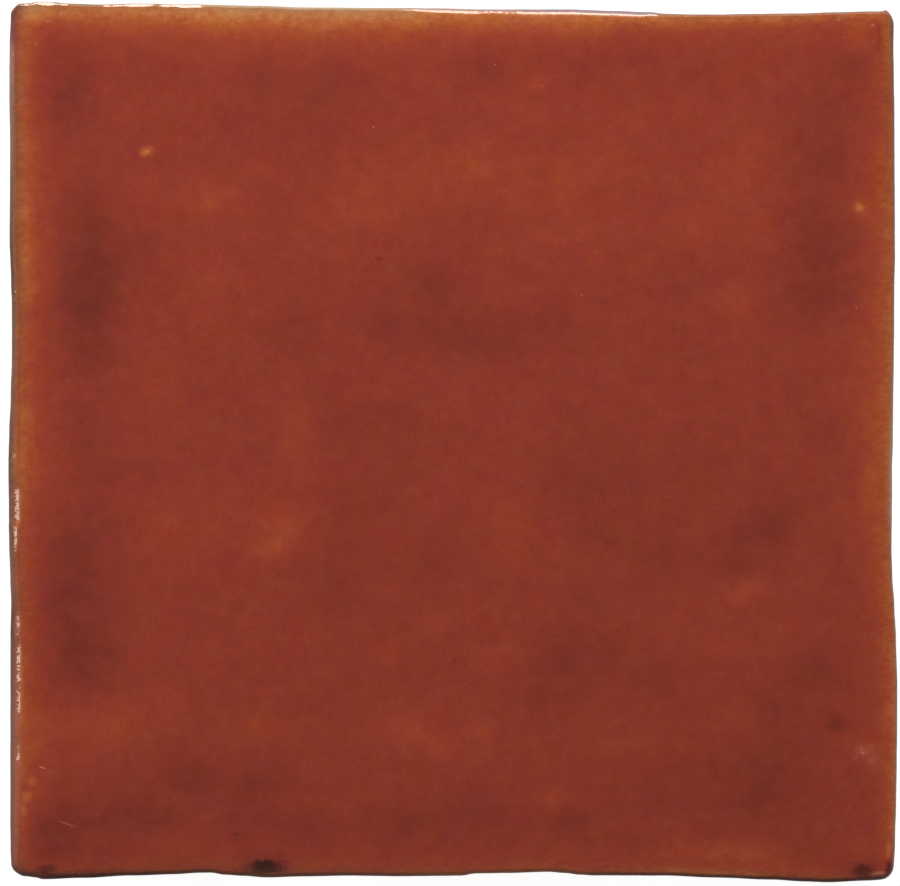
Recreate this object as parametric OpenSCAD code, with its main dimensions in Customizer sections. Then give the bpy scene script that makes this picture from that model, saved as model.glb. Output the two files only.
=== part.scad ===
// Zellige tile: one hand-cut square of fired earthenware, glazed on its face.
// It lies flat on its back. The origin is the middle of the back, and +Z points at the glazed face.

/* [Tile] */
// Width of the face, from the left edge to the right edge
tile_w = 100; // [60:1:200]
// Length of the face, from the bottom edge to the top edge
tile_l = 98.2; // [60:0.2:200]
// Thickness, from the flat back to the highest place of the face
tile_t = 11; // [8:0.5:20]

/* [Edges] */
// Furthest that a hand-cut edge strays from its straight line
edge_wander = 0.7; // [0:0.1:1.5]
// Width of the rolled edge around the face, seen from above
roll_w = 1.1; // [0.4:0.1:3]
// Height of the rolled edge
roll_h = 1; // [0.4:0.1:2.5]
// Radius of the top left corner, seen from above
corner_tl = 1.2; // [0.5:0.1:4]
// Radius of the top right corner
corner_tr = 0.9; // [0.5:0.1:4]
// Radius of the bottom right corner
corner_br = 1.6; // [0.5:0.1:4]
// Radius of the bottom left corner
corner_bl = 1.4; // [0.5:0.1:4]

/* [Sides and back] */
// How far the chiselled sides lean in between the face and the back
side_lean = 1.2; // [0:0.1:3]
// Depth of the marks that the chisel leaves in the sides
chisel_d = 0.3; // [0:0.05:0.8]
// Length of one chisel mark
chisel_l = 14; // [8:1:30]
// Width and height of the strip that is worn off the edge of the back
back_worn = 0.6; // [0.2:0.1:2]

/* [Face] */
// How much lower the face is beside its rolled edge than in its middle
face_fall = 0.25; // [0:0.05:1]
// Depth of the hollows that pressing the clay by hand leaves in the face
hollow_d = 0.2; // [0:0.05:0.6]
// Distance from one hollow to the next
hollow_l = 46; // [20:1:120]

/* [Hidden] */

glaze_colour = [0.55, 0.23, 0.16];

// How each edge strays: how far along it, in percent, and how far outwards, as a share of edge_wander.
// The left and right edges run from bottom to top, the top and bottom edges from left to right.
left_edge = [[0, 0], [30, 0], [32, -0.2], [38, 0.1], [43, 0.3], [50, 0.1],
             [61, -0.3], [67, -0.2], [72, 0.1], [80, 0], [100, 0.1]];
right_edge = [[0, -0.2], [5, 0.1], [14, 0.3], [20, 0.4], [25, 0.3], [31, 0],
              [37, -0.4], [46, -0.3], [58, -0.1], [64, 0], [86, 0], [93, -0.2], [100, 0]];
top_edge = [[0, 1], [7, 0.6], [11, 0.4], [16, 0.5], [28, 0.3], [35, 0],
            [50, -0.2], [63, -0.3], [72, -0.7], [85, -0.9], [93, -0.7], [100, -0.4]];
bottom_edge = [[0, 0.1], [6, 0.3], [16, -0.2], [23, -0.6], [29, 0.1], [39, -0.1], [45, 0],
               [52, -0.3], [61, -0.7], [66, -0.2], [75, -0.1], [81, 0.2], [86, 0.5], [93, 1], [100, 0.4]];

// Points along a side, inside a corner, and steps up the rolled edge
SIDE_POINTS = 30;
CORNER_POINTS = 3;
ROLL_STEPS = 4;
// Rings of the side below the rolled edge: share of its height, share of the lean, share of the chisel mark
SIDE_RINGS = [[0, 1, 0.4], [0.3, 0.6, 1], [0.65, 0.15, 0.7]];
// Rings of the face, as shares of the way from the rolled edge to the middle
FACE_RINGS = [0.04, 0.12, 0.25, 0.42, 0.6, 0.78, 0.92];
// How much rounder than the edge the rings of the face are, for each millimetre that they lie inside it
RING_ROUNDING = 0.3;
// How far the unfinished blank reaches below the back before it is cut off flat
CUT = 1;

half_w = tile_w / 2;
half_l = tile_l / 2;
half_least = min(half_w, half_l);
// Sides and corners are numbered anticlockwise from the right side and the top right corner
wanders = [right_edge, top_edge, left_edge, bottom_edge];
corners = [corner_tr, corner_tl, corner_bl, corner_br];
ring_size = 4 * (SIDE_POINTS + CORNER_POINTS);

function next(side) = (side + 1) % 4;
function last(side) = (side + 3) % 4;
function outwards(side) = [cos(90 * side), sin(90 * side)];
function half_out(side, inset) = (side % 2 == 0 ? half_w : half_l) - inset;
function half_along(side, inset) = half_out(next(side), inset);

// The value that a list of [place, value] pairs takes at a place, on a smooth curve through them
function ease(t) = t * t * (3 - 2 * t);
function curve(pairs, place, i = 1) =
    place > pairs[i][0] && i < len(pairs) - 1
    ? curve(pairs, place, i + 1)
    : let (t = (place - pairs[i - 1][0]) / (pairs[i][0] - pairs[i - 1][0]))
      pairs[i - 1][1] + (pairs[i][1] - pairs[i - 1][1]) * ease(min(max(t, 0), 1));

// How far a side strays outwards, where t runs from 0 to 1 anticlockwise along it
function wander(side, t) =
    edge_wander * curve(wanders[side], 100 * (side == 1 || side == 2 ? 1 - t : t));

function corner_radius(side, inset) =
    min(max(corners[side] + RING_ROUNDING * inset, 0.1), 0.9 * (half_least - inset));

// Depth of the chisel's mark at a place along a side
function chisel(side, t) =
    chisel_d * (1 - cos(360 * t * half_along(side, 0) * 2 / chisel_l + 110 * side)) / 2;

// A point of a side, t from 0 to 1 along it, on the ring that lies inset inside the edge.
// stray is the share of the edge's wander that the ring follows, and cut the share of the chisel's mark.
function side_point(side, t, inset, stray, cut) =
    let (deeper = half_out(side, inset) + stray * wander(side, t) - cut * chisel(side, t),
         start = -half_along(side, inset) + corner_radius(last(side), inset)
                 - stray * wander(last(side), 1),
         end = half_along(side, inset) - corner_radius(side, inset) + stray * wander(next(side), 0))
    outwards(side) * deeper + outwards(next(side)) * (start + (end - start) * t);

// A point of the corner that follows a side, t from 0 to 1 round it
function corner_point(side, t, inset, stray, cut) =
    let (r = corner_radius(side, inset),
         out = half_out(side, inset) - r + stray * wander(side, 1) - cut * chisel(side, 1) * (1 - t),
         along = half_along(side, inset) - r + stray * wander(next(side), 0)
                 - cut * chisel(next(side), 0) * t)
    outwards(side) * (out + r * cos(90 * t)) + outwards(next(side)) * (along + r * sin(90 * t));

function ring(inset, stray, cut = 0) = [
    for (side = [0:3]) each concat(
        [for (i = [0:SIDE_POINTS - 1]) side_point(side, i / (SIDE_POINTS - 1), inset, stray, cut)],
        [for (i = [1:CORNER_POINTS]) corner_point(side, i / (CORNER_POINTS + 1), inset, stray, cut)]
    )
];

// How deep the hollows lie at a point of the face
function hollow(p) =
    let (across = sin(360 * p.x / hollow_l + 70) * sin(360 * p.y / hollow_l - 40),
         slanting = sin(180 * (p.x - p.y) / hollow_l + 20))
    hollow_d * (1 + 0.6 * across + 0.4 * slanting) / 2;

// Height of the face at a point, where share runs from 0 beside the rolled edge to 1 in the middle
function face_z(p, share) = tile_t - face_fall * pow(1 - share, 4) - hollow(p);

function flat_ring(points, z) = [for (p = points) [p.x, p.y, z]];
function roll_ring(angle) = [
    for (p = ring(roll_w * (1 - cos(angle)), 1)) [p.x, p.y, face_z(p, 0) - roll_h * (1 - sin(angle))]
];
function face_ring(share) = [
    for (p = ring(roll_w + share * (half_least - roll_w), 1 - share)) [p.x, p.y, face_z(p, share)]
];
side_h = tile_t - face_fall - hollow_d - roll_h - back_worn;
function side_ring(spec) =
    flat_ring(ring(side_lean * spec[1], 1 - spec[1] / 2, spec[2]), back_worn + side_h * spec[0]);

rings = concat(
    [flat_ring(ring(side_lean + back_worn + CUT, 0.5), -CUT)],
    [for (spec = SIDE_RINGS) side_ring(spec)],
    [for (i = [0:ROLL_STEPS]) roll_ring(90 * i / ROLL_STEPS)],
    [for (share = FACE_RINGS) face_ring(share)]
);

module blank() {
    top = len(rings) * ring_size;
    points = concat([for (r = rings) each r], [[0, 0, face_z([0, 0], 1)], [0, 0, -CUT]]);
    walls = [
        for (k = [0:len(rings) - 2], i = [0:ring_size - 1])
            let (j = (i + 1) % ring_size, low = k * ring_size, high = low + ring_size)
            each [[low + i, high + i, high + j], [low + i, high + j, low + j]]
    ];
    caps = [
        for (i = [0:ring_size - 1])
            let (j = (i + 1) % ring_size)
            each [[top, top - ring_size + j, top - ring_size + i], [top + 1, i, j]]
    ];
    polyhedron(points, concat(walls, caps));
}

module tile() {
    color(glaze_colour)
    difference() {
        blank();
        translate([-tile_w, -tile_l, -3 * CUT]) cube([2 * tile_w, 2 * tile_l, 3 * CUT]);
    }
}

tile();
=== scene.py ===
import math

import bmesh
import bpy
import numpy as np
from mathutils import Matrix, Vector


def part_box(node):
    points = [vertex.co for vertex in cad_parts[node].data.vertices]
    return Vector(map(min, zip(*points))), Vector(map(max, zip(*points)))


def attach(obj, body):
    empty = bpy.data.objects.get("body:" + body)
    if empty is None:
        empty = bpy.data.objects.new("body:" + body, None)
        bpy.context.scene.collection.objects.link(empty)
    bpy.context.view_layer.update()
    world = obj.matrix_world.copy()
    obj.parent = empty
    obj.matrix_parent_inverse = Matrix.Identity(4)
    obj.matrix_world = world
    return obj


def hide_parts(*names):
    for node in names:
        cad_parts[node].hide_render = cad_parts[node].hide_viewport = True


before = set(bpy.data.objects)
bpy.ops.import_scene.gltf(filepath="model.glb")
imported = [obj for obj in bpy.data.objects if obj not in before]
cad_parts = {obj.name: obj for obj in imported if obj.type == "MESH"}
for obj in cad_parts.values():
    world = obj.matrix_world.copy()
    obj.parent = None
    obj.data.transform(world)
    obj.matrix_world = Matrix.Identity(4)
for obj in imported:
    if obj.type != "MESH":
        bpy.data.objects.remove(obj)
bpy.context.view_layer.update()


# ---------------------------------------------------------------------------------------------------
# The tile: one square of pale clay, pressed flat by hand, cut to size with a chisel and fired. An
# amber-red glaze is fused to its face. It thins to ochre where it rolls over the edges, pools dark in
# the hollows and runs a little way down the sides. Below that the clay is bare.

MM = 0.001
# Two places that are nearer than this are one
SAME = 0.01 * MM

# Sizes in millimetres, as on a drawing. The blank is true and square, and its edges stray later.
width = 100
length = 98.2
thick = 10.95
half_w, half_l = width / 2, length / 2
# The rolled edge of the face and the worn edge of the back
roll = 1.05
worn = 0.6
# The mesh: a band beside each edge, square cells between the bands, how many cells make a part, and the
# rows of cells down the sides
band = 2
cell = 0.5
part = 5
side_rows = 14

bpy.ops.object.select_all(action="DESELECT")
bpy.ops.mesh.primitive_cube_add(size=MM, location=(0, 0, thick / 2 * MM), scale=(width, length, thick))
tile = bpy.context.object
tile.name = "zellige_tile"
bpy.ops.object.transform_apply(location=True, scale=True)
bpy.ops.object.mode_set(mode="EDIT")
bpy.ops.mesh.select_mode(type="EDGE")


def choose(test):
    """Selects the edges of the tile for which test is true, and no others."""
    bpy.ops.mesh.select_all(action="DESELECT")
    shape = bmesh.from_edit_mesh(tile.data)
    for edge in shape.edges:
        edge.select = test(edge)
    bmesh.update_edit_mesh(tile.data)


def score(place, normal):
    """Cuts the blank all the way round with one plane."""
    bpy.ops.mesh.select_all(action="SELECT")
    bpy.ops.mesh.bisect(plane_co=Vector(place) * MM, plane_no=normal)


def divide(axis, least, most, parts):
    """Cuts the edges that run least to most millimetres along an axis into equal parts."""
    choose(lambda edge: least < abs((edge.verts[0].co - edge.verts[1].co)[axis]) / MM < most)
    bpy.ops.mesh.subdivide(number_cuts=parts - 1)


for way in (-1, 1):
    score((way * (half_w - band), 0, 0), (1, 0, 0))
    score((0, way * (half_l - band), 0), (0, 1, 0))
score((0, 0, thick - band), (0, 0, 1))
score((0, 0, 2 * worn), (0, 0, 1))

# Between the bands the face is cut into parts, and each part into its cells
for axis, span in ((0, width - 2 * band), (1, length - 2 * band)):
    divide(axis, half_l, width, round(span / cell / part))
    divide(axis, (part - 0.5) * cell, (part + 0.5) * cell, part)
divide(2, thick / 2, thick, side_rows)

# The corners are rubbed or chipped: which way each one lies, how far it is rubbed, and its facets
corners = ((-1, 1, 1, 6), (1, 1, 1.1, 3), (1, -1, 1.4, 5), (-1, -1, 1.4, 2))
for right, up, rubbed, facets in corners:
    corner = Vector((right * half_w, up * half_l)) * MM
    choose(lambda edge: all((v.co.xy - corner).length < SAME for v in edge.verts))
    bpy.ops.mesh.bevel(offset=rubbed * MM, segments=facets, affect="EDGES")


def arris(height):
    """A test for the sharp edge between the sides and the face, or the sides and the back."""
    def test(edge):
        flat = sum(abs(face.normal.z) > 0.9 for face in edge.link_faces)
        return flat == 1 and all(abs(v.co.z - height * MM) < SAME for v in edge.verts)
    return test


choose(arris(thick))
bpy.ops.mesh.bevel(offset=roll * MM, segments=10, affect="EDGES")
choose(arris(0))
bpy.ops.mesh.bevel(offset=worn * MM, segments=2, affect="EDGES")

# What the roll leaves of the band is halved
for axis in (0, 1, 2):
    divide(axis, 0.9 * (band - roll), 1.1 * (band - roll), 2)

# The flat back is left with few faces. They are first put in one order, by how far they lie from a
# place off to one side, so that the same ones are left each time.
cursor = bpy.context.scene.cursor
cursor.location = (-0.31, -0.17, 0.05)
bpy.ops.mesh.select_all(action="SELECT")
bpy.ops.mesh.sort_elements(type="CURSOR_DISTANCE", elements={"VERT", "EDGE", "FACE"})
cursor.location = (0, 0, 0)
bpy.ops.mesh.select_all(action="DESELECT")
bpy.ops.mesh.select_mode(type="FACE")
shape = bmesh.from_edit_mesh(tile.data)
for face in shape.faces:
    face.select = face.normal.z < -0.9
bmesh.update_edit_mesh(tile.data)
bpy.ops.mesh.decimate(ratio=0.12)
bpy.ops.object.mode_set(mode="OBJECT")
bpy.ops.object.shade_smooth()

# How the chisel strayed from each straight edge: the place along it and how far outwards. Here and
# below, the left and right edges run from bottom to top, and the other two from left to right.
strays = {
    "left": [(-49, -0.65), (-48.7, -0.52), (-48.2, -0.3), (-47.6, -0.14), (-46, -0.05), (-43, 0),
             (-22, -0.02), (-18, -0.1), (-15.5, 0), (-11, 0.13), (-8, 0.25), (-3, 0.3), (1, 0.12),
             (5, -0.05), (9, -0.18), (13, -0.2), (16, -0.18), (18, -0.1), (23, 0.06), (28, 0.02),
             (33, 0), (40, 0.08), (45, 0.05), (47, -0.06), (48.2, -0.12), (49, -0.28)],
    "right": [(-49, -0.15), (-45, 0.02), (-40, 0.15), (-36, 0.22), (-31, 0.27), (-27, 0.27), (-22, 0.12),
              (-18.5, -0.06), (-15, -0.3), (-12, -0.38), (-9, -0.35), (-5, -0.32), (-2.5, -0.32),
              (0, -0.22), (4, -0.2), (9, -0.12), (14, -0.07), (18, -0.05), (21, 0.02), (37, -0.04),
              (41, -0.1), (45, -0.16), (47.5, -0.12), (48.5, -0.2), (48.9, -0.1), (49.1, 0.1)],
    "top": [(-50, 0.25), (-49.2, 0.42), (-48, 0.45), (-47.2, 0.62), (-46, 0.65), (-43.5, 0.42), (-40, 0.33),
            (-36, 0.43), (-30, 0.35), (-22, 0.2), (-17, 0), (-8, -0.05), (-1, -0.1), (3, -0.2), (13, -0.2),
            (18, -0.35), (22, -0.5), (24, -0.72), (27, -0.8), (30, -0.8), (34, -0.73), (39, -0.68),
            (43, -0.56), (47, -0.46), (48.2, -0.48), (48.9, -0.3), (49.4, -0.5), (50, -0.5)],
    "bottom": [(-50, 0.2), (-49.5, 0.12), (-48.6, 0), (-47.6, 0.14), (-46.9, 0.3), (-42, 0.15), (-37, -0.1),
               (-32, -0.24), (-29, -0.42), (-27.7, -0.42), (-26, -0.2), (-24, -0.07), (-21.2, 0.12),
               (-17, 0), (-12, -0.1), (-6, -0.02), (-1, -0.08), (1, -0.1), (2.5, -0.35), (6.5, -0.4),
               (10.8, -0.53), (12.8, -0.4), (14.4, -0.2), (16, -0.12), (24, -0.1), (30, 0.13), (36, 0.35),
               (40, 0.57), (42.5, 0.66), (47, 0.47), (50, 0.3)],
}
# How the glaze rounds each edge: the place along it, the radius of the round, and the length of the
# flat slope that the round has in its middle
rolls = {
    "left": [(-49, 0.6, 0.15), (-44, 1, 0.2), (-37, 1.25, 0.2), (-36, 1.3, 0.35), (-33.8, 1.25, 0.35),
             (-32.5, 1.25, 0.2), (-30.5, 1.3, 0.42), (-28, 1.35, 0.4), (-26.8, 1.36, 0.45),
             (-23, 1.36, 0.4), (-21.8, 1.15, 0.3), (-20.8, 1.05, 0.48), (-19.6, 1.05, 0.48),
             (-18, 1.05, 0.2), (-12.5, 0.95, 0.2), (-11.7, 1.1, 0.3), (-9.4, 1.15, 0.35),
             (-8.9, 1.45, 0.48), (-5.2, 1.45, 0.48), (-4, 1.15, 0.2),
             (8, 0.8, 0.15), (24, 0.7, 0.15), (44, 0.7, 0.12), (49, 0.5, 0.12)],
    "right": [(-49, 0.8, 0.1), (-45, 0.45, 0.1), (45, 0.45, 0.1), (49, 0.4, 0.1)],
    "top": [(-49, 0.25, 0.1), (-48.8, 0.2, 0.16), (-47, 0.2, 0.18), (-46.4, 0.15, 0.4), (-45.4, 0.15, 0.4),
            (-45, 0.2, 0.16), (-44, 0.2, 0.16), (-43, 0.3, 0.08), (-40, 0.3, 0.08), (-39, 0.2, 0.2),
            (-37.4, 0.2, 0.18), (-36.4, 0.15, 0.34), (-34.8, 0.15, 0.3), (-33.6, 0.25, 0.1),
            (-32.4, 0.15, 0.32), (-31.4, 0.15, 0.24), (-30.6, 0.15, 0.4), (-29, 0.15, 0.34),
            (-27.6, 0.3, 0.08), (-8, 0.3, 0.08), (-4.6, 0.33, 0.14), (-1.4, 0.5, 0.24), (2, 0.52, 0.26),
            (4, 0.48, 0.18), (7, 0.54, 0.18), (8.5, 0.74, 0.14), (21, 0.74, 0.14), (23, 0.5, 0.12),
            (25, 0.3, 0.08), (47, 0.3, 0.08), (49, 0.4, 0.1)],
    "bottom": [(-49, 0.6, 0.1), (-46, 0.45, 0.1), (45, 0.45, 0.1), (49, 0.8, 0.1)],
}
# Where the glaze breaks thin along each edge: the place, how much thinner, how far in it stays so,
# and over what width it then fades
breaks = {
    "left": [(-49, 0.3, 1.2, 1), (-40, 0.4, 1.5, 1.1), (-30, 0.42, 1.5, 1.2), (-19, 0.4, 1.5, 1.3),
             (-10, 0.43, 1.4, 1.5), (-4, 0.55, 1.8, 1.9), (2, 0.5, 1.7, 1.8), (7, 0.45, 1.3, 1.7),
             (14, 0.44, 1.3, 1.6), (18, 0.54, 2, 1.8), (25, 0.55, 1.9, 1.8), (32, 0.53, 1.7, 1.7),
             (44, 0.52, 1.6, 1.5), (49, 0.7, 1.8, 1.4)],
    "right": [(-49, 0.4, 0.3, 0.8), (-42, 0.58, 0.3, 1), (-34, 0.6, 0.4, 1.3), (-20, 0.52, 0.35, 1.5),
              (-8, 0.46, 0.6, 2.6), (8, 0.5, 0.5, 2.8), (30, 0.52, 0.3, 2.5), (40, 0.42, 0.3, 1.8),
              (47, 0.5, 0.9, 1), (49, 0.6, 1, 0.8)],
    "top": [(-49, 0.75, 1.8, 1.8), (-44, 0.72, 1.2, 1.6), (-35, 0.8, 1, 1.6), (-27, 0.94, 1.1, 2),
            (-17, 0.92, 1, 1.9), (-6, 0.9, 0.9, 1.9), (3, 0.8, 0.8, 1.4), (12, 0.8, 0.7, 1.3),
            (20, 0.79, 0.7, 1.2), (26, 0.73, 0.65, 1.2), (34, 0.68, 0.55, 1.1), (40, 0.6, 0.5, 1),
            (49, 0.6, 0.5, 0.8)],
    "bottom": [(-49, 0.3, 0.8, 0.6), (-44, 0.22, 0.9, 0.8), (-20, 0.2, 1, 0.9), (5, 0.24, 0.8, 0.7),
               (22, 0.3, 0.7, 0.6), (26, 0.6, 0.6, 0.4), (33, 0.55, 0.6, 0.4), (38, 0.38, 0.7, 0.8),
               (49, 0.3, 0.5, 0.5)],
}
# Where the glaze turns dull at the edge, with painted shade where the round turns away from the lamps
# and a painted reflection of the pale floor, once in a narrow line and once in a wider band: the place,
# how much of it, how far in, and its colour as seen
dull_edges_shade_and_reflection = {
    "left": (
        [(-49, 0.6, 0.3, 80, 50, 46), (-44, 0.75, 0.28, 80, 50, 46), (-34, 0.75, 0.26, 66, 40, 38),
         (-26, 0.85, 0.28, 44, 22, 22), (-20, 0.85, 0.28, 44, 22, 22), (-16, 0.6, 0.3, 160, 120, 106),
         (-8, 0.65, 0.26, 86, 62, 56), (-2, 0.75, 0.26, 68, 46, 46), (6, 0.6, 0.3, 150, 108, 90),
         (13, 0.6, 0.3, 112, 82, 70), (20, 0.8, 0.25, 62, 42, 44), (26, 0.7, 0.3, 110, 88, 80),
         (34, 0.75, 0.34, 172, 134, 118), (44, 0.85, 0.4, 190, 148, 138), (47, 0.7, 0.33, 112, 70, 66),
         (49, 0.7, 0.3, 80, 42, 42)],
        [(-49, 0.7, 1.1, 116, 74, 62), (-40, 0.78, 1.1, 122, 82, 62), (-30, 0.76, 1.1, 124, 84, 66),
         (-24, 0.75, 1.1, 110, 74, 58), (-18, 0.75, 1.15, 100, 68, 52), (-6, 0.8, 1.2, 96, 70, 52),
         (4, 0.75, 1, 98, 70, 48), (13, 0.74, 1.15, 102, 74, 52), (20, 0.8, 1.25, 96, 72, 50),
         (40, 0.8, 1.25, 106, 76, 58), (43.5, 0.75, 1.15, 112, 70, 60), (45.5, 0.9, 1.1, 102, 52, 50),
         (49, 0.92, 1, 96, 50, 48)]),
    "right": (
        [(-49, 0.75, 0.3, 130, 100, 74), (-42, 0.8, 0.3, 144, 110, 84), (-20, 0.85, 0.3, 146, 112, 84),
         (-12, 0.85, 0.32, 148, 116, 88), (-8, 0.9, 0.4, 172, 142, 116), (0, 0.9, 0.4, 170, 140, 114),
         (5, 0.88, 0.36, 154, 122, 92), (20, 0.85, 0.32, 138, 104, 76),
         (40, 0.8, 0.32, 132, 102, 78), (49, 0.8, 0.4, 108, 86, 62)],
        [(-49, 0, 1.2, 100, 78, 50), (-20, 0, 1.4, 100, 78, 48), (6, 0.05, 1.4, 100, 78, 48),
         (28, 0.1, 1.4, 100, 78, 48), (40, 0.2, 1.2, 100, 78, 48), (49, 0.22, 1.2, 96, 76, 48)]),
    "top": (
        [(-49, 0.9, 0.3, 144, 116, 92), (-46, 0.9, 0.38, 144, 120, 90), (-43, 0.9, 0.26, 122, 96, 68),
         (-38, 0.9, 0.28, 130, 102, 76), (-28, 0.9, 0.38, 148, 126, 98), (-24, 0.95, 0.4, 150, 130, 104),
         (-7, 0.95, 0.38, 150, 128, 100), (-4, 0.95, 0.32, 132, 116, 108), (6, 0.95, 0.32, 128, 114, 112),
         (9, 0.98, 0.42, 104, 100, 110), (22, 0.98, 0.42, 104, 100, 112), (24, 0.9, 0.28, 108, 82, 62),
         (47, 0.9, 0.28, 104, 80, 62), (49, 0.8, 0.35, 100, 76, 58)],
        [(-49, 0.2, 1.6, 120, 96, 66), (-43, 0.16, 1.4, 120, 96, 66), (-34, 0.08, 1.2, 120, 96, 66),
         (-24, 0.02, 1, 150, 110, 66), (49, 0.02, 1, 150, 110, 66)]),
    "bottom": (
        [(-49, 0.9, 0.42, 86, 48, 42), (-42, 0.95, 0.42, 74, 40, 34), (-36, 0.9, 0.38, 96, 54, 42),
         (-30, 0.9, 0.36, 116, 66, 50), (-12, 0.9, 0.4, 122, 70, 54), (-6, 0.85, 0.38, 132, 82, 62),
         (3, 0.8, 0.26, 176, 120, 88), (10, 0.8, 0.26, 172, 114, 82), (14, 0.85, 0.34, 150, 92, 70),
         (22, 0.9, 0.34, 100, 56, 46), (33, 0.9, 0.36, 82, 46, 38), (38, 0.9, 0.42, 88, 50, 42),
         (49, 0.9, 0.42, 92, 54, 44)],
        [(-49, 0.5, 1.2, 84, 56, 44), (-42, 0.6, 1.1, 72, 46, 38), (-34, 0.5, 1.2, 76, 50, 38),
         (-26, 0.4, 1.4, 82, 56, 42), (-17, 0.4, 1.2, 90, 64, 48), (-4, 0.38, 1.1, 90, 66, 50),
         (3, 0.28, 1.1, 92, 68, 52), (10, 0.28, 1.1, 92, 68, 52), (16, 0.34, 1, 86, 62, 48),
         (22, 0.32, 0.8, 88, 74, 62), (33, 0.34, 0.8, 88, 74, 62), (38, 0.38, 0.9, 78, 56, 46),
         (49, 0.35, 0.8, 78, 56, 46)]),
}
# How glossy the round of each edge is outside its flat slope, how glossy the slope is at most, and
# where along the edge the slope catches the light
sheen = {
    "left": [(-60, 0.08), (60, 0.08)],
    "right": [(-60, 0.35), (60, 0.35)],
    "top": [(-60, 0.3), (60, 0.3)],
    "bottom": [(-60, 0.05), (60, 0.05)],
}
shine = {
    "left": [(-60, 0.4), (60, 0.4)],
    "right": [(-60, 0.2), (60, 0.2)],
    "top": [(-60, 0.56), (-6, 0.56), (-4, 0.45), (6, 0.45), (8, 0.54), (60, 0.54)],
    "bottom": [(-60, 0.05), (60, 0.05)],
}
gloss = {
    "left": [(-38, 0), (-36.4, 0), (-36, 1), (-35.1, 1), (-34.8, 0.2), (-34.3, 0.4), (-34.1, 1.1),
             (-33.8, 0), (-31, 0), (-30.5, 1.1), (-28.2, 1.1), (-27.8, 0.5), (-27.2, 0.5), (-26.8, 1.2),
             (-23, 1.2), (-22.6, 0.5), (-22, 0.5), (-21.6, 1), (-21.2, 0.4), (-20.8, 1.2), (-19.6, 1.2),
             (-19.2, 0.1), (-16, 0.1), (-15.6, 1.1), (-15.3, 0.1), (-12.8, 0.1), (-12.4, 1.1),
             (-12, 0.5), (-11.7, 1.1), (-9.4, 1.2), (-9.1, 0.7), (-8.9, 1.3), (-5.3, 1.3), (-4.9, 0),
             (-1.8, 0), (-1.5, 1), (-1.2, 0), (6.6, 0), (7.2, 1.1), (7.6, 0), (16.6, 0.1), (17, 1.1),
             (17.4, 0), (23.4, 0), (23.9, 1.1), (24.4, 0), (33, 0.3), (38, 0.3), (40.4, 0.3), (40.8, 1.1),
             (41.4, 0.5), (42, 1.1), (42.4, 0.3), (43.8, 1), (44.6, 0)],
    "right": [(-49, 0), (49, 0)],
    "top": [(-49.2, 0), (-48.8, 1.5), (-46.9, 1.7), (-46.6, 2.3), (-45.3, 2.3), (-45, 1.5), (-43.9, 1.5),
            (-43.4, 0.2), (-39.8, 0.25), (-39.3, 1.7), (-37.2, 1.7), (-36.9, 2.3), (-34.5, 2.2),
            (-34.1, 0.5), (-33.3, 0.5), (-33, 2.2), (-31.5, 2.2), (-31.2, 2.4), (-28.7, 2.4), (-28.2, 0.1),
            (-25, 0.1), (-24.6, 0.8), (-24.2, 0.1), (-13.3, 0.1), (-13, 0.9), (-12.7, 0.1), (-5.4, 0.1),
            (-4.6, 1.7), (-2, 2.9), (2.8, 2.9), (3.2, 1.1), (7.2, 1.2), (7.8, 3.3), (22.6, 3.3),
            (23.6, 0.1)],
    "bottom": [(-49, 0), (49, 0)],
}
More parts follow.
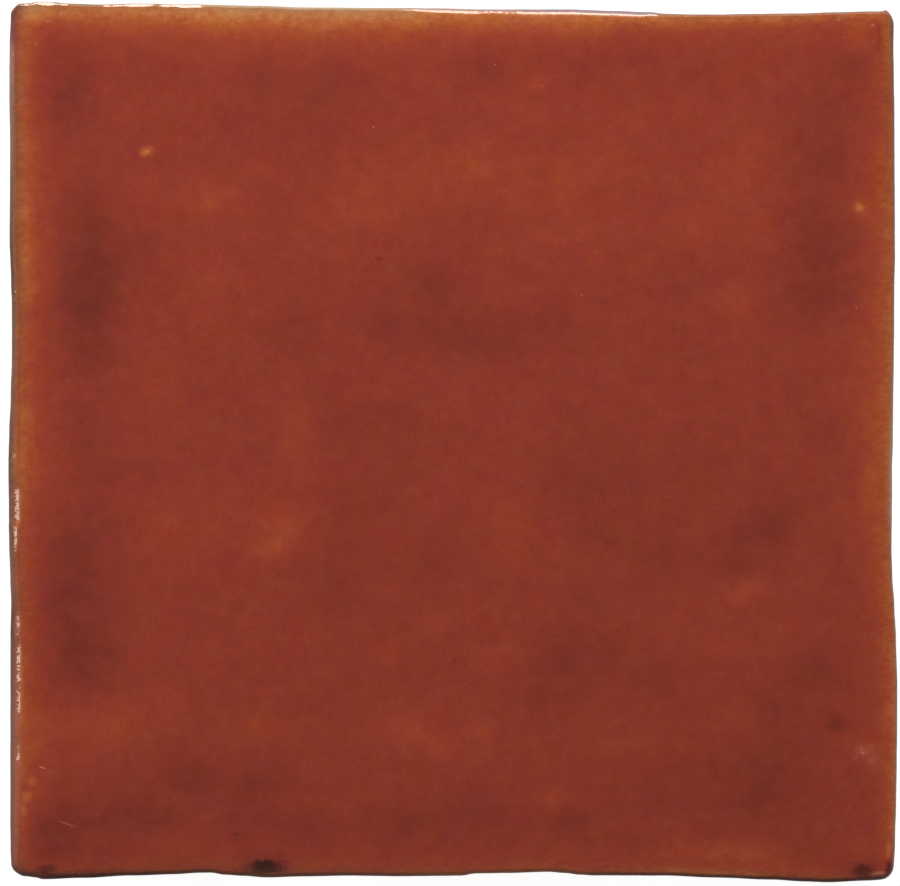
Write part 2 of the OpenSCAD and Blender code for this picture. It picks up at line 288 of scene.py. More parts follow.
# Where glaze lies deep over a hollow in the clay, and where it lies thin: the middle of the patch,
# its half width and half height, its turn in degrees, and how much deeper
pools = [
    (-41, 18.5, 3.6, 7.5, 0, 0.4), (-41.5, 12, 3, 4, 0, 0.2), (-42.6, -17.5, 3.8, 7, 0, 0.31),
    (-40.6, -25, 3.6, 3.5, 0, 0.22), (-41, -10, 3.4, 3, 0, 0.12), (-43.6, 39.6, 3, 5, 0, 0.31),
    (-36, 21, 3, 4, 0, 0.1), (-21, 41, 3.5, 2.5, 0, 0.15), (-16, 36, 3.5, 3.5, 0, 0.12),
    (-12.5, 40.5, 4, 3, 0, 0.12), (-25, 36.5, 3, 2.5, 0, 0.12), (-33, 41, 4, 3, 0, 0.06),
    (3, 42, 3, 2, 0, 0.15), (15, 42, 3, 2, 0, 0.12), (21, 43, 4, 2, 0, 0.08), (28, 42, 3, 2, 0, 0.1),
    (45, 42.2, 2, 2.8, 0, 0.2), (41.5, 37, 3.5, 4, 0, 0.15), (42, 31, 3.8, 2.6, 0, 0.2),
    (41, 25, 4.5, 3.5, 0, 0.2), (42.5, 18.5, 3.8, 4.5, 0, 0.25), (38, 16, 3, 4, 0, 0.08),
    (-18.5, 13, 3.6, 2.8, 0, 0.14), (-7.5, 13.5, 3.2, 3, 0, 0.15), (-1, 12, 4.5, 2.6, 0, 0.18),
    (-2, 17, 4, 3, 0, 0.15), (5, 12, 3.6, 2.8, 0, 0.15), (11.5, 13, 3, 2.4, 0, 0.1),
    (-12, 2, 3, 3.6, 0, 0.12), (-6.5, 2.5, 3, 2.4, 0, 0.12), (-13, -9, 2.6, 4.5, 0, 0.12),
    (-13.5, -16.5, 3.5, 3, 0, 0.15), (-8, -6, 3, 2.4, 0, 0.1), (-2, -12, 3, 2.4, 0, 0.1),
    (16.4, -10.6, 2.4, 2, 0, 0.15), (17, -5, 5, 4, 0, 0.14), (15, -18, 2.5, 2.5, 0, 0.12),
    (24, -13, 4, 4, 0, 0.1), (35.5, -9.8, 5.5, 3, 35, 0.22), (31.5, -13.4, 3, 2.2, 20, 0.1),
    (26, -3, 6, 4, 0, 0.06), (13, -25, 4.4, 3.6, 0, 0.2), (17, -23, 2.5, 2.5, 0, 0.1),
    (10, -28.5, 3, 1.6, 0, 0.08), (23, -27, 4, 3, 0, 0.12), (41, -25.5, 2.6, 2.2, 0, 0.2),
    (36.5, -29, 3, 2.6, 0, 0.1), (43.2, -31.8, 1.4, 1.1, 0, 0.26), (37, -33, 4, 3, 0, 0.1),
    (34.6, -39, 3.8, 3.6, 0, 0.25), (42.8, 1, 2.2, 2.6, 0, 0.14), (39.6, -37, 3, 4, 0, 0.1),
    (-29.6, -38, 2.8, 2.1, 0, 0.3), (-22.2, -38.6, 3.4, 2.4, 0, 0.17), (-22.5, -42.5, 3, 1.6, 0, 0.12),
    (-39, -42, 6, 2.6, 0, 0.2), (-45, -44.4, 3.2, 2.8, 0, 0.32), (-33, -42.6, 4, 2, 0, 0.12),
    (-5.5, -43, 5, 2.2, 0, 0.18), (3, -42, 5, 2.8, 0, 0.16), (13.2, -43, 2.6, 1.8, 0, 0.22),
    (-17, -43.4, 5, 2, 0, 0.12), (-40.8, -0.5, 2.6, 5.5, 0, 0.2), (25, -38, 4, 3, 0, 0.08),
    (-36, -3, 3.4, 2, 0, 0.08), (47, -5, 1, 3, 0, -0.16), (25.5, 18.5, 3, 2.6, 0, 0.08),
    (-27.5, 27.4, 3.4, 2.2, 0, -0.22), (-34, 28, 3, 2.6, 0, -0.08), (-22, 30.6, 2, 1.2, 0, -0.12),
    (-10.5, 27, 5, 3.6, 20, -0.14), (-3, 30, 5, 4, 30, -0.12), (2.6, 30.6, 3, 3, 0, -0.24),
    (12.4, 29, 2.2, 3.6, 0, -0.18), (8, 37, 4, 2.5, 20, -0.1), (7.4, 28.8, 2.2, 3.4, 0, -0.2),
    (9.6, 40.6, 2.4, 0.9, 28, -0.18), (14.5, 46.8, 5.5, 1.2, 0, -0.2), (20, 33, 7, 5, 0, -0.1),
    (31, 29, 4.5, 4, 0, -0.15), (33, 35, 3, 3, 0, -0.08), (27.5, 24, 4, 2.6, 0, -0.12),
    (16.5, 24, 4, 3, 0, -0.1), (32, 16, 2.2, 2.8, 0, -0.16), (4.4, 22, 2, 1.5, 0, -0.1),
    (-27.5, 18, 2.4, 4, 0, -0.1), (-32.5, 6, 3, 4, 0, -0.1), (-18.4, 3.6, 2.4, 4, 0, -0.12),
    (-17.4, -1, 1.6, 4, 0, -0.08), (-19.4, -9.4, 3.6, 2.4, 0, -0.22), (-20.6, -12.2, 2.2, 1.4, 0, -0.2),
    (-31, -10, 4, 3.6, 0, -0.1), (-25, -9, 3, 3, 0, -0.08), (6.2, -8, 2.4, 3, 0, -0.12),
    (6.6, -12.4, 2.4, 1.8, 0, -0.1), (33, -17, 2.8, 1.3, 15, -0.2), (41.5, -15, 3, 1.8, 0, -0.08),
    (5.6, -24.4, 3.4, 1.8, 15, -0.14), (-2, -20, 3, 1.5, 0, -0.08), (-7, -24, 2, 1.6, 0, -0.08),
    (-40, -32, 4.6, 3, 0, -0.2), (-46.6, -34, 1.8, 4, 0, -0.15), (-33, -30, 4, 2.2, 0, -0.1),
    (-23, -32.6, 3.4, 2.6, 0, -0.12), (-5, -32.4, 4, 2.2, 0, -0.16), (-1, -34.6, 3, 1.6, 0, -0.12),
    (3.6, -33, 1.4, 1.8, 0, -0.12), (11.6, -40, 2.4, 1.8, 0, -0.14), (17.6, -34, 1.5, 1, 0, -0.1),
    (21.4, -34.2, 1.6, 1, 0, -0.08), (26, -46, 2.4, 1.2, 0, -0.16), (32.5, -46.6, 4, 1.4, 0, -0.36),
    (44.6, 45.6, 2, 1.9, 0, -0.08), (48, 45.4, 0.7, 1.6, 0, 0.2), (-43, 27, 2.4, 4, 0, 0.06),
    (44, -14, 2, 3, 0, 0.12), (35, 23.5, 2, 2.5, 0, -0.15), (3.5, 46.8, 3, 1, 0, -0.15),
    (46, -45.8, 1.8, 1.2, 0, -0.14), (-41, -46.2, 4, 1.2, 0, 0.12), (10, 23, 2.5, 2, 0, -0.12),
    (32, -31, 2.2, 2, 0, -0.13), (-35.5, 46.8, 3, 1, 0, -0.14), (-14.6, 46.8, 3, 1, 0, -0.14),
]


def smooth(t):
    """0 up to t = 0 and 1 past t = 1, with a smooth change between them."""
    t = np.clip(t, 0, 1)
    return t * t * (3 - 2 * t)


def through(points, at):
    """The smooth curves through rows of (place, value, ...), read at each place in at."""
    places, *columns = np.array(points, float).T
    i = np.clip(np.searchsorted(places, at) - 1, 0, len(places) - 2)
    t = smooth((at - places[i]) / (places[i + 1] - places[i]))
    return np.array([values[i] + (values[i + 1] - values[i]) * t for values in columns])


def read(what):
    """What each vertex of the tile holds, three numbers to a row."""
    values = np.zeros(len(tile.data.vertices) * 3)
    tile.data.vertices.foreach_get(what, values)
    return values.reshape(-1, 3)


# Each vertex's way out to the nearest edge, how far inside it lies, and how far below the face
x, y, z = (read("co") / MM).T
normal_x, normal_y, normal_z = read("normal").T
sides = {"left": (-1, 0, y), "right": (1, 0, y), "top": (0, 1, x), "bottom": (0, -1, x)}
radius = np.zeros(len(x))
for right, up, rubbed, facets in corners:
    radius[(right * x >= 0) & (up * y >= 0)] = rubbed
past_x, past_y = np.abs(x) - half_w + radius, np.abs(y) - half_l + radius
at_corner = (past_x > 0) & (past_y > 0)
from_middle = np.hypot(past_x, past_y) + 1e-9
out_x = np.where(at_corner, past_x / from_middle, past_x > past_y) * np.sign(x)
out_y = np.where(at_corner, past_y / from_middle, past_x <= past_y) * np.sign(y)
inset = radius - np.where(at_corner, from_middle, np.maximum(past_x, past_y))
drop = thick - z


def of_edge(lists):
    """A list per edge read all the way round, mixed at the corners."""
    share = {side: np.clip(out_x * sx + out_y * sy, 0, 1) ** 2 for side, (sx, sy, at) in sides.items()}
    return sum(share[side] * through(lists[side], sides[side][2]) for side in sides)


# The round of each edge gets its own radius and, in its middle, a flat slope. turned runs from 0 on
# the side to 1 on the face, and arc is the share of it that the round takes on each side of the slope.
slope_tilt = 27
arc = 0.3
round_r, slope_l = of_edge(rolls)
roll_w = round_r + slope_l * math.cos(math.radians(slope_tilt))
roll_h = round_r + slope_l * math.sin(math.radians(slope_tilt))
rolled = (inset < roll) & (drop < roll)
turned = np.arctan2(roll - drop, roll - inset) / (math.pi / 2)
on_slope = np.clip((turned - arc) / (1 - 2 * arc), 0, 1)
lifted = np.radians(np.where(turned < 0.5, np.minimum(turned / arc, 1) * (90 - slope_tilt),
                             90 - np.minimum((1 - turned) / arc, 1) * slope_tilt))
round_in = round_r * (1 - np.cos(lifted)) + (roll_w - round_r) * on_slope
round_down = roll_h - round_r * np.sin(lifted) - (roll_h - round_r) * on_slope


def spread(value, size, end):
    """Moves what lies between the roll and end so that it starts where the new roll ends."""
    return np.where(value < end, size + (value - roll) * (end - size) / (end - roll), value)


settled_in = 3
settled_down = 4
inside = np.where(rolled, round_in, np.where(inset < roll, 0, spread(inset, roll_w, settled_in)))
drop = np.where(rolled, round_down, np.where(drop < roll, 0, spread(drop, roll_h, settled_down)))
new_x = x - out_x * (inside - inset)
new_y = y - out_y * (inside - inset)
new_z = thick - drop
away = {
    side: (half_w if sx else half_l) - sx * new_x - sy * new_y
    for side, (sx, sy, at) in sides.items()
}

# The sides lean in towards the back, and stray half as much there: the height, and how far in
lean = 1.2
leans = through([(worn, lean), (3.3, 0.7), (6.4, 0.2), (9.5, 0)], new_z)[0]
stray = 1 - 0.5 * leans / lean
new_x *= 1 - leans / half_w
new_y *= 1 - leans / half_l
for side, (sx, sy, at) in sides.items():
    near = np.clip(sx * x / half_w + sy * y / half_l, 0, 1)
    move = stray * through(strays[side], at)[0] * near
    new_x += sx * move
    new_y += sy * move

# The chisel leaves shallow marks in the sides, one after the other, deepest at a third of the height
mark_l = 14
mark_d = 0.3
marked = mark_d * through([(worn, 0.4), (3.3, 1), (6.4, 0.7), (9.5, 0)], new_z)[0]
for number, (sx, sy, at) in enumerate(sides.values()):
    mark = (1 - np.cos(2 * math.pi * at / mark_l + 2 * number)) / 2
    cut = marked * mark * smooth((normal_x * sx + normal_y * sy - 0.6) / 0.3)
    new_x -= sx * cut
    new_y -= sy * cut

# The face falls a little towards its edges and has shallow hollows. Both fade away down the sides.
face_fall = 0.25
hollow_l = 46
hollow_d = 0.2
to_edge = np.minimum(half_w - np.abs(x), half_l - np.abs(y))
level = np.clip((to_edge - roll) / (half_l - roll), 0, 1)
turn = 2 * math.pi / hollow_l
wave = 0.6 * np.sin(turn * x + 1.2) * np.sin(turn * y - 0.7) + 0.4 * np.sin(turn * (x - y) / 2 + 0.35)
sunk = face_fall * (1 - level) ** 4 + hollow_d * (1 + wave) / 2
new_z -= sunk * smooth((new_z - thick + 4) / 3)

# The glaze runs down the sides to a ragged line, where it ends in a thin lip. Under the roll it is
# drawn in a little.
run_h = 4.4
lip_d = 0.12
drawn_d = 0.2
run = run_h + 1.5 * np.sin(x / 8.3 + 1) * np.sin(y / 7.1 + 2) + 0.6 * np.sin((x + y) / 3.1)
run += 0.45 * np.sin((x - y) / 1.7 + 2 * np.sin((x + y) / 9)) + 0.25 * np.sin((x - y) / 0.7)
cover = np.where(normal_z < -0.5, -3, run - drop)
lip = lip_d * smooth(cover / 0.5 + 0.5) * smooth((drop - 1) / 1.5)
drawn = drawn_d * smooth((drop - roll_h) / 0.8) * (1 - smooth((drop - roll_h - 1) / 2))
new_x += out_x * (lip - drawn)
new_y += out_y * (lip - drawn)


def move_to(rows):
    """Puts each vertex of the tile at its row of x, y and z, in metres."""
    tile.data.vertices.foreach_set("co", rows.astype(np.float32).ravel())
    tile.data.update()


move_to(np.stack([new_x, new_y, new_z], 1) * MM)


def roughen(name, size, depth, share):
    """Pushes the surface in and out in lumps, by up to half of depth, where share is more than 0."""
    group = tile.vertex_groups.new(name=name)
    for i in np.flatnonzero(share > 0.01):
        group.add([int(i)], float(share[i]), "REPLACE")
    lumps = bpy.data.textures.new(name, "CLOUDS")
    lumps.noise_scale = size * MM
    lumps.noise_depth = 1
    bpy.ops.object.modifier_add(type="DISPLACE")
    push = tile.modifiers[-1]
    push.texture = lumps
    push.vertex_group = name
    push.strength = depth * MM
    bpy.ops.object.modifier_apply(modifier=push.name)


on_top = 1 - smooth((drop - 2) / 2)
bare = (1 - smooth(cover / 0.6 + 0.8)) * (normal_z > -0.5)
roughen("pressed_clay", 9, 0.09, on_top * smooth((inside - 1) / 3))
roughen("run_glaze", 1.6, 0.035, (1 - bare) * (1 - smooth((inside - roll_w) / 0.8)))
roughen("chipped_clay", 3.6, 0.7, bare)
roughen("split_clay", 1, 0.35, bare)

# Every vertex is held inside the solid's box
low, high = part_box("tile")
skin = 1e-6
move_to(np.clip(read("co"), np.array(low) + skin, np.array(high) - skin))

# What the glaze needs to know of its place, kept on the mesh
above = 1 - smooth((drop - 0.8 * roll_h) / 0.7)
thin = np.zeros(len(x))
dull_shade_reflection = np.zeros(len(x))
dull_shade_reflection_colour = np.zeros((3, len(x)))
for side, (sx, sy, at) in sides.items():
    less, far, fade = through(breaks[side], at)
    thin = np.maximum(thin, less * np.exp(-np.maximum(away[side] - far, 0) / fade))
    # Each row mixes in the dull edge colour, which carries painted shade and painted reflection
    for rows in dull_edges_shade_and_reflection[side]:
        much, far, *tone = through(rows, at)
        much = much * np.exp(-(away[side] / far) ** 2) * above
        dull_shade_reflection += much
        dull_shade_reflection_colour += much * (np.array(tone) / 255)
dull_shade_reflection_colour = (dull_shade_reflection_colour / (dull_shade_reflection + 1e-6)).T
pooled = np.zeros(len(x))
for middle_x, middle_y, half_wide, half_high, tilt, deeper in pools:
    cos_tilt, sin_tilt = math.cos(math.radians(tilt)), math.sin(math.radians(tilt))
    from_x, from_y = new_x - middle_x, new_y - middle_y
    across = (from_x * cos_tilt + from_y * sin_tilt) / half_wide
    along = (from_y * cos_tilt - from_x * sin_tilt) / half_high
    pooled += deeper * np.exp(-(across ** 2 + along ** 2))
below = smooth((drop - roll_h) / 1.2)
runs = np.sin((x + y) / 1.3 + 2 * np.sin((x - y) / 3.7))
depth = 1 - thin * (1 - below) + 0.5 * below * (1 - smooth((drop - 2) / 2))
depth += 0.4 * np.exp(-(cover / 0.5) ** 2) + 0.2 * below * runs

# The flat slope, and how wet the glaze looks: on the round, under it, and 1 on the face
sloped = smooth((turned - 0.23) / 0.13) * (1 - smooth((turned - 0.75) / 0.1)) * rolled
side_wet = 0.25
edge_wet = of_edge(sheen)[0]
round_wet = edge_wet + (1 - edge_wet) * smooth((turned - 0.78) / 0.15)
below_wet = edge_wet + (side_wet - edge_wet) * below
wetness = np.where(rolled, round_wet, np.where(inset < roll, below_wet, 1))


def keep(name, values):
    """Keeps one number for each vertex, under a name that the glaze reads it by."""
    layer = tile.data.attributes.new(name, "FLOAT", "POINT")
    layer.data.foreach_set("value", values.astype(np.float32))


keep("rim", inside)
keep("cover", cover)
keep("deep", depth)
keep("pooled", pooled)
keep("dull_shade_reflection", np.clip(dull_shade_reflection, 0, 1))
keep("wet", wetness)
keep("sloped", sloped)
keep("turned", np.where(rolled, turned, 0))
keep("lit", of_edge(gloss)[0])
keep("shine", of_edge(shine)[0])
layer = tile.data.attributes.new("dull_shade_reflection_colour", "FLOAT_COLOR", "POINT")
linear = ((dull_shade_reflection_colour + 0.055) / 1.055) ** 2.4
layer.data.foreach_set("color", np.column_stack([linear, np.ones(len(x))]).astype(np.float32).ravel())


class Wire:
    """An output of a shader node, with which a pattern is written as a sum."""

    def __init__(self, tree, socket=None):
        self.tree = tree
        self.socket = socket

    def node(self, kind, settings=None, values=None, out=0):
        """Adds a node, sets it up, joins its inputs and returns one of its outputs."""
        made = self.tree.nodes.new("ShaderNode" + kind)
        for name, value in (settings or {}).items():
            if name == "stops":
                for place, colour in value:
                    made.color_ramp.elements.new(place).color = (*colour, 1)
                made.color_ramp.elements.remove(made.color_ramp.elements[0])
                made.color_ramp.elements.remove(made.color_ramp.elements[-1])
            else:
                setattr(made, name, value)
        for name, value in (values or {}).items():
            if isinstance(value, Wire):
                self.tree.links.new(value.socket, made.inputs[name])
            else:
                made.inputs[name].default_value = value
        return Wire(self.tree, made.outputs[out]) if made.outputs else None

    def maths(self, operation, first, second):
        return self.node("Math", {"operation": operation}, {0: first, 1: second})

    def __add__(self, other):
        return self.maths("ADD", self, other)

    def __radd__(self, other):
        return self.maths("ADD", other, self)

    def __sub__(self, other):
        return self.maths("SUBTRACT", self, other)

    def __rsub__(self, other):
        return self.maths("SUBTRACT", other, self)

    def __mul__(self, other):
        return self.maths("MULTIPLY", self, other)

    def __rmul__(self, other):
        return self.maths("MULTIPLY", other, self)

    def step(self, start, end):
        """0 up to start and 1 past end, with a smooth change between them."""
        return self.node("MapRange", {"interpolation_type": "SMOOTHSTEP"},
                         {"Value": self, "From Min": start, "From Max": end})

    def mix(self, first, second):
        """Mixes two colours, with this value as the share of the second."""
        return self.node("Mix", {"data_type": "RGBA"}, {0: self, 6: first, 7: second}, 2)


def seen_as(red, green, blue):
    """A colour as it is seen, 0 to 255, in the linear values that a shader takes."""
    return tuple(((c / 255 + 0.055) / 1.055) ** 2.4 for c in (red, green, blue))


def paint(red, green, blue):
    """The same, with the fourth value that a colour socket needs."""
    return (*seen_as(red, green, blue), 1)


glaze = bpy.data.materials.new("amber_glaze")
glaze.use_nodes = True
glaze.node_tree.nodes.clear()
# All that the glaze is mixed from goes into one pot
pot = Wire(glaze.node_tree)
place = pot.node("TexCoord", out="Object")


def cloud(size, detail=2, seed=0, stretch=(1, 1, 1)):
    """Noise between about -1 and 1, with lumps that are size millimetres across."""
    at = pot.node("Mapping", {}, {"Vector": place, "Location": (seed, 0, 0),
                                  "Scale": tuple(1 / (size * MM * s) for s in stretch)})
    return (pot.node("TexNoise", {}, {"Vector": at, "Scale": 1, "Detail": detail}) - 0.5) * 4


def held(name):
    """The number that keep has put on the mesh under this name."""
    return pot.node("Attribute", {"attribute_name": name}, out="Fac")


# What makes the outlines of patches uneven
blots = cloud(1.3, 3, 21)
frays = cloud(0.35, 3, 22)


def spot(x, y, across, along, turn=0, soft=0.5):
    """An uneven oval patch on the face: 1 inside it and 0 outside. Sizes are in millimetres."""
    at = pot.node("Mapping", {"vector_type": "TEXTURE"},
                  {"Vector": place, "Location": (x * MM, y * MM, (thick - face_fall) * MM),
                   "Rotation": (0, 0, math.radians(turn)), "Scale": (across * MM, along * MM, 1)})
    far = pot.node("VectorMath", {"operation": "LENGTH"}, {0: at}, "Value") + 0.25 * blots + 0.15 * frays
    return far.step(1 + soft, 1 - soft)


# Where the glaze is burnt dark, or run thin to amber: its middle, its half sizes, its turn in degrees,
# how soft its edge is, and how much deeper the glaze looks
stains = [
    (-21.2, -48, 1.95, 0.8, 0, 0.5, 1.1), (-21.3, -47.8, 2.7, 1.2, 0, 0.9, 0.35),
    (-21.4, -48.8, 1.7, 0.45, 0, 0.8, 0.8), (-45.8, -48.3, 1, 0.55, 0, 0.6, 0.75),
    (-46.6, -49, 2, 0.5, 0, 0.6, 0.6), (46.3, -48.5, 1.15, 0.8, 0, 0.6, 0.8),
    (46.2, -48.6, 1.9, 0.9, 0, 0.9, 0.25), (49.4, -48.2, 0.5, 0.95, 0, 0.6, 1),
    (49, -48.8, 0.6, 0.4, 0, 0.8, -0.4), (49.2, -46.2, 0.25, 0.9, 0, 0.8, -0.3),
    (-34.5, 32.8, 0.7, 0.5, 20, 0.9, -0.75), (45.9, 26.5, 0.45, 0.5, 0, 0.9, -0.5),
    (45.9, 26.3, 0.9, 0.9, 0, 0.9, -0.2), (-47.6, 48.4, 1.3, 0.7, 0, 0.9, -0.2),
    (46.1, 45.8, 1.85, 1.9, 0, 0.25, -0.14), (48.1, 46.3, 0.15, 0.9, 5, 0.9, 0.12),
    (46.2, 47.5, 1.3, 0.2, -12, 0.9, 0.12), (-49.8, 48.3, 0.1, 0.12, 0, 0.5, 0.5),
    (-48.8, 48.1, 0.1, 0.12, 0, 0.5, 0.6), (-8.3, 20.7, 0.35, 0.3, 0, 0.8, 0.4),
    (-24.4, -44.3, 0.3, 0.25, 0, 0.8, 0.4), (0.3, -24.7, 0.25, 0.2, 0, 0.8, 0.3),
    (-47.4, -38.4, 0.55, 0.45, 50, 0.8, -0.3), (-47.9, -40.1, 0.75, 0.5, 35, 0.7, -0.34),
    (-48.5, -41.4, 0.35, 0.55, 25, 0.8, -0.28), (-46.9, -39.4, 0.3, 0.7, -15, 0.9, -0.16),
    (-48.2, -39.1, 0.4, 0.35, 0, 0.8, 0.15),
]
# Where it is scuffed or has a pinhole, which looks pale, and three painted glints on the bottom
# round: the same, with how pale instead
scuffs_and_glints = [
    (-46.3, -36.75, 0.33, 0.08, -18, 0.5, 0.5), (-45.4, -37.15, 0.5, 0.05, -25, 0.9, 0.12),
    (-43.55, -43.1, 0.75, 0.09, -20, 0.8, 0.2), (-45.7, 47.5, 0.35, 0.16, 0, 0.8, 0.2),
    (-44.2, 48.4, 0.1, 0.28, -15, 0.8, 0.2), (-47.6, 46.2, 0.12, 0.12, 0, 0.8, 0.15),
    (-47, 45, 0.1, 0.13, 0, 0.8, 0.2), (43.6, 47.7, 0.16, 0.12, 0, 0.7, 0.3),
    (47.45, 47.05, 0.18, 0.11, 30, 0.7, 0.35), (44.2, 45.6, 0.2, 0.07, 0, 0.9, 0.1),
    (47.5, 45.2, 0.18, 0.09, 30, 0.9, 0.1), (-34.5, 32.85, 0.16, 0.12, 20, 0.8, 0.3),
    (-8.9, 35.5, 0.12, 0.1, 0, 0.6, 0.3), (4.8, 42.6, 0.1, 0.08, 0, 0.6, 0.3),
    (10.2, 40.2, 0.1, 0.08, 0, 0.6, 0.25), (14.6, 16.6, 0.12, 0.1, 0, 0.6, 0.3),
    (45.6, 15.2, 0.1, 0.1, 0, 0.6, 0.35), (-18, 29.5, 0.07, 0.07, 0, 0.5, 0.3),
    (48.1, -48.8, 0.75, 0.3, 5, 0.7, 0.35), (46.3, -35.1, 0.4, 0.06, 3, 0.8, 0.3),
    (46.3, -35.1, 0.06, 0.6, 10, 0.8, 0.22), (47.5, -35.9, 0.6, 0.4, 30, 0.8, 0.11),
    (46.8, -35.3, 0.7, 0.5, 20, 0.9, 0.08), (46.1, -34.7, 0.7, 0.4, -10, 0.8, 0.1),
    (47.3, -34.4, 0.5, 0.4, 0, 0.9, 0.06), (45.6, -35.6, 0.5, 0.3, 40, 0.8, 0.07),
    (43.4, -39.4, 0.7, 0.07, 35, 0.8, 0.08), (42.2, -41, 0.7, 0.05, 70, 0.8, 0.08),
    # The last three are painted glints, pale on the round of the bottom edge below the burn and by the
    # corner
    (44.6, -41.6, 0.6, 0.05, 60, 0.8, 0.08), (-20.5, -48.75, 0.9, 0.08, 5, 0.6, 0.3),
    (-22.2, -48.8, 0.4, 0.07, 0, 0.6, 0.25), (-45.2, -48.6, 0.35, 0.08, 0, 0.6, 0.2),
]

# How deep the glaze looks: 1 over most of the face. The last line adds specks where it is thin.
uneven = 0.16 * cloud(3.2, 3, 5) + 0.22 * cloud(0.8, 3, 8) + 0.16 * cloud(0.3, 2, 18)
deep = 1 + (held("deep") - 1) * (1 + uneven) + held("pooled") * (1 + 0.5 * cloud(3.5, 3, 13))
deep = deep + 0.07 * cloud(2.2, 3, 3) + 0.04 * cloud(9, 2, 7)
for *oval, deeper in stains:
    deep = deep + deeper * spot(*oval)
deep = deep + 0.3 * cloud(0.25, 1, 33).step(0.8, 1.3) * deep.step(0.8, 0.4)

# Where the slope of the round shines. Its edge is broken into long teeth, and there the glaze is painted
# thinner
# and paler: partly the glaze's thin break, partly a painted highlight.
lit = held("lit")
turned_here = held("turned")
teeth = (lit + 1.5 * turned_here - 1.8 + 1.3 * cloud(0.2, 1, 6, (3, 1, 1))).step(0, 0.35)
glint = held("sloped") * teeth * pot.maths("MINIMUM", lit, 1)
# Thinner, paler glaze under the shine, in part a painted highlight
deep = deep - 0.3 * glint

# From its thinnest to its deepest the glaze goes from ochre through amber-red to brown-black
deepest = 2.5
colour = pot.node("ValToRGB", {"stops": [
    (0, seen_as(185, 117, 71)), (0.08, seen_as(180, 103, 56)), (0.16, seen_as(172, 89, 48)),
    (0.24, seen_as(161, 75.5, 42.5)), (0.32, seen_as(151, 63, 40.7)), (0.4, seen_as(140.6, 55.6, 40.2)),
    (0.5, seen_as(126, 50, 38)), (0.6, seen_as(113, 44.5, 35.3)), (0.9, seen_as(58, 27, 22))]},
    {"Fac": deep * (1 / deepest)})


def tinted(colour, amount, one, other):
    """Multiplies a colour by a tint that runs from one to the other as amount goes from -1 to 1."""
    tint = (0.5 + 0.5 * amount).mix((*one, 1), (*other, 1))
    return pot.node("VectorMath", {"operation": "MULTIPLY"}, {0: colour, 1: tint})


colour = tinted(colour, cloud(4, 3, 11), (0.99, 0.96, 1.03), (1.01, 1.04, 0.97))
fine = 0.72 * cloud(0.4, 3, 15) + 0.6 * cloud(1.2, 2, 16)
colour = tinted(colour, fine, (0.95, 0.87, 0.83), (1.05, 1.13, 1.17))
# The finest grain changes the blue most and the red least
grain = pot.node("TexNoise", {}, {"Vector": place, "Scale": 400, "Detail": 4, "Roughness": 0.8}, "Color")
grain = pot.node("VectorMath", {"operation": "MULTIPLY_ADD"}, {
    0: grain, 1: (0.1, 0.45, 1), 2: (0.95, 0.775, 0.5)})
colour = pot.node("VectorMath", {"operation": "MULTIPLY"}, {0: colour, 1: grain})
# Pale specks, the scuffs with three painted glints, and the dull line and band along the edges, which
# carry painted shade and painted reflection
colour = (0.25 * cloud(0.3, 1, 31).step(1.1, 1.5)).mix(colour, paint(205, 125, 100))
for *oval, paler in scuffs_and_glints:
    colour = (paler * spot(*oval)).mix(colour, paint(220, 140, 115))
dull_shade_reflection_share = held("dull_shade_reflection") * (1 + 0.25 * cloud(0.6, 3, 8)) * (1 - 0.5 * glint * turned_here.step(0.27, 0.37))
colour = dull_shade_reflection_share.mix(colour, pot.node("Attribute", {"attribute_name": "dull_shade_reflection_colour"}))

# The bare clay: buff, with a grain, brown specks and pits
clay_grain = cloud(0.4, 3, 2)
pits = cloud(0.8, 2, 35).step(0.7, 1.1)
clay = 0.5 + 0.4 * cloud(3, 3, 4) + 0.25 * clay_grain
clay = clay.mix(paint(184, 146, 118), paint(208, 176, 148))
clay = (0.7 * cloud(0.35, 1, 36).step(0.9, 1.2)).mix(clay, paint(120, 80, 58))
clay = (0.5 * pits).mix(clay, paint(146, 108, 82))
chips = 0.08 * clay_grain - 0.15 * pits

# The glaze is a shiny coat as far as it reaches, with small ripples near the edges
covered = (held("cover") + 0.3 * cloud(1.6, 3, 9)).step(-0.08, 0.08)
wet = held("wet") * (1 - held("sloped")) + held("shine") * glint
ripples = held("rim").step(3, 1) * 0.02 * cloud(0.7, 2, 12)
shader = pot.node("BsdfPrincipled", {}, {
    "Base Color": covered.mix(clay, colour),
    "Roughness": 0.9 - covered * (0.28 + 0.5 * wet),
    "Specular IOR Level": 0.2,
    "Coat Weight": covered * wet,
    "Coat Roughness": 0.1,
    "Coat IOR": 1.6,
    "Normal": pot.node("Bump", {}, {"Height": covered * ripples + (1 - covered) * chips, "Distance": MM})})
pot.node("OutputMaterial", {}, {"Surface": shader})
tile.data.materials.append(glaze)

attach(tile, "root")
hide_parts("tile")


# ---------------------------------------------------------------------------------------------------
# The studio: a white floor, one long soft lamp low behind the tile, a smaller one to its left and a
# room that is dark overhead. It isn't part of the object.

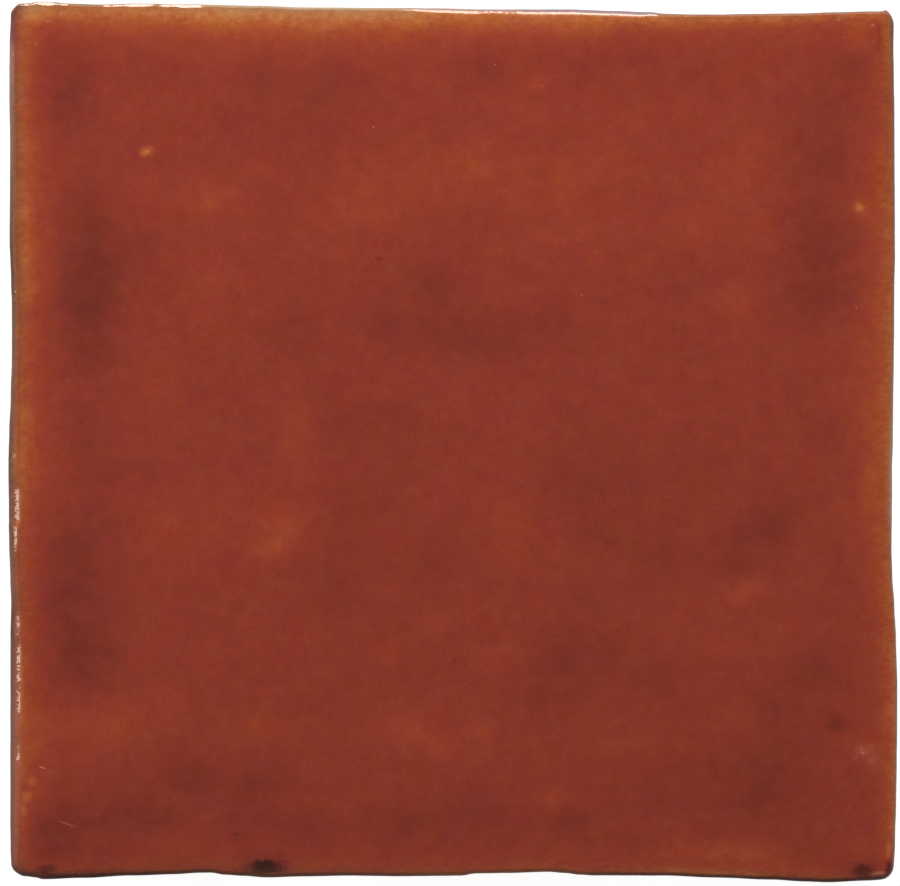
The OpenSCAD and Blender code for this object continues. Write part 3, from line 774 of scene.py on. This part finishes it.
bpy.ops.mesh.primitive_plane_add(size=8)
floor = bpy.context.object
floor.name = "floor"
paper = bpy.data.materials.new("white_paper")
paper.use_nodes = True
paper.node_tree.nodes.clear()
sheet = Wire(paper.node_tree)
ray = {kind: sheet.node("LightPath", out=f"Is {kind} Ray") for kind in ("Camera", "Glossy", "Transmission")}
seen = sheet.maths("MINIMUM", ray["Camera"] + ray["Glossy"] + ray["Transmission"], 1)
matt = sheet.node("BsdfDiffuse", {}, {"Color": (0.3, 0.3, 0.3, 1)})
bright = sheet.node("Emission", {}, {"Color": (1, 1, 1, 1), "Strength": 0.9 * seen})
sheet.node("OutputMaterial", {}, {"Surface": sheet.node("AddShader", {}, {0: matt, 1: bright})})
floor.data.materials.append(paper)


def lamp(name, stands_at, size, radiance):
    """A soft box aimed at the tile, as bright as radiance where 1 is white."""
    bpy.ops.object.light_add(type="AREA", location=stands_at)
    made = bpy.context.object
    made.name = name
    made.data.shape = "RECTANGLE"
    made.data.size, made.data.size_y = size
    made.data.energy = radiance * size[0] * size[1] * math.pi
    made.rotation_euler = (-Vector(stands_at)).to_track_quat("-Z", "Y").to_euler()
    made.visible_camera = False


lamp("long_soft_lamp", (0, 0.61, 0.35), (0.5, 0.25), 17)
lamp("left_lamp", (-0.62, -0.02, 0.39), (0.2, 0.2), 13)

room = bpy.data.worlds.new("room")
bpy.context.scene.world = room
room.use_nodes = True
room.node_tree.nodes.clear()
walls = Wire(room.node_tree)
upwards = walls.node("SeparateXYZ", {}, {0: walls.node("TexCoord", out="Generated")}, "Z")
dim = 0.7 + upwards.step(0.1, 0.9) * -0.66
backdrop = walls.node("Background", {}, {"Color": (1, 1, 1, 1), "Strength": dim})
walls.node("OutputWorld", {}, {"Surface": backdrop})

# The camera looks straight down, and the tile nearly fills its picture
camera_data = bpy.data.cameras.new("camera")
camera_data.lens = 247.8
camera_data.sensor_width = 36
camera = bpy.data.objects.new("camera", camera_data)
camera.location = (-0.00027, -0.00012, 0.71)
bpy.context.scene.collection.objects.link(camera)
bpy.context.scene.camera = camera
bpy.context.scene.view_settings.view_transform = "Standard"
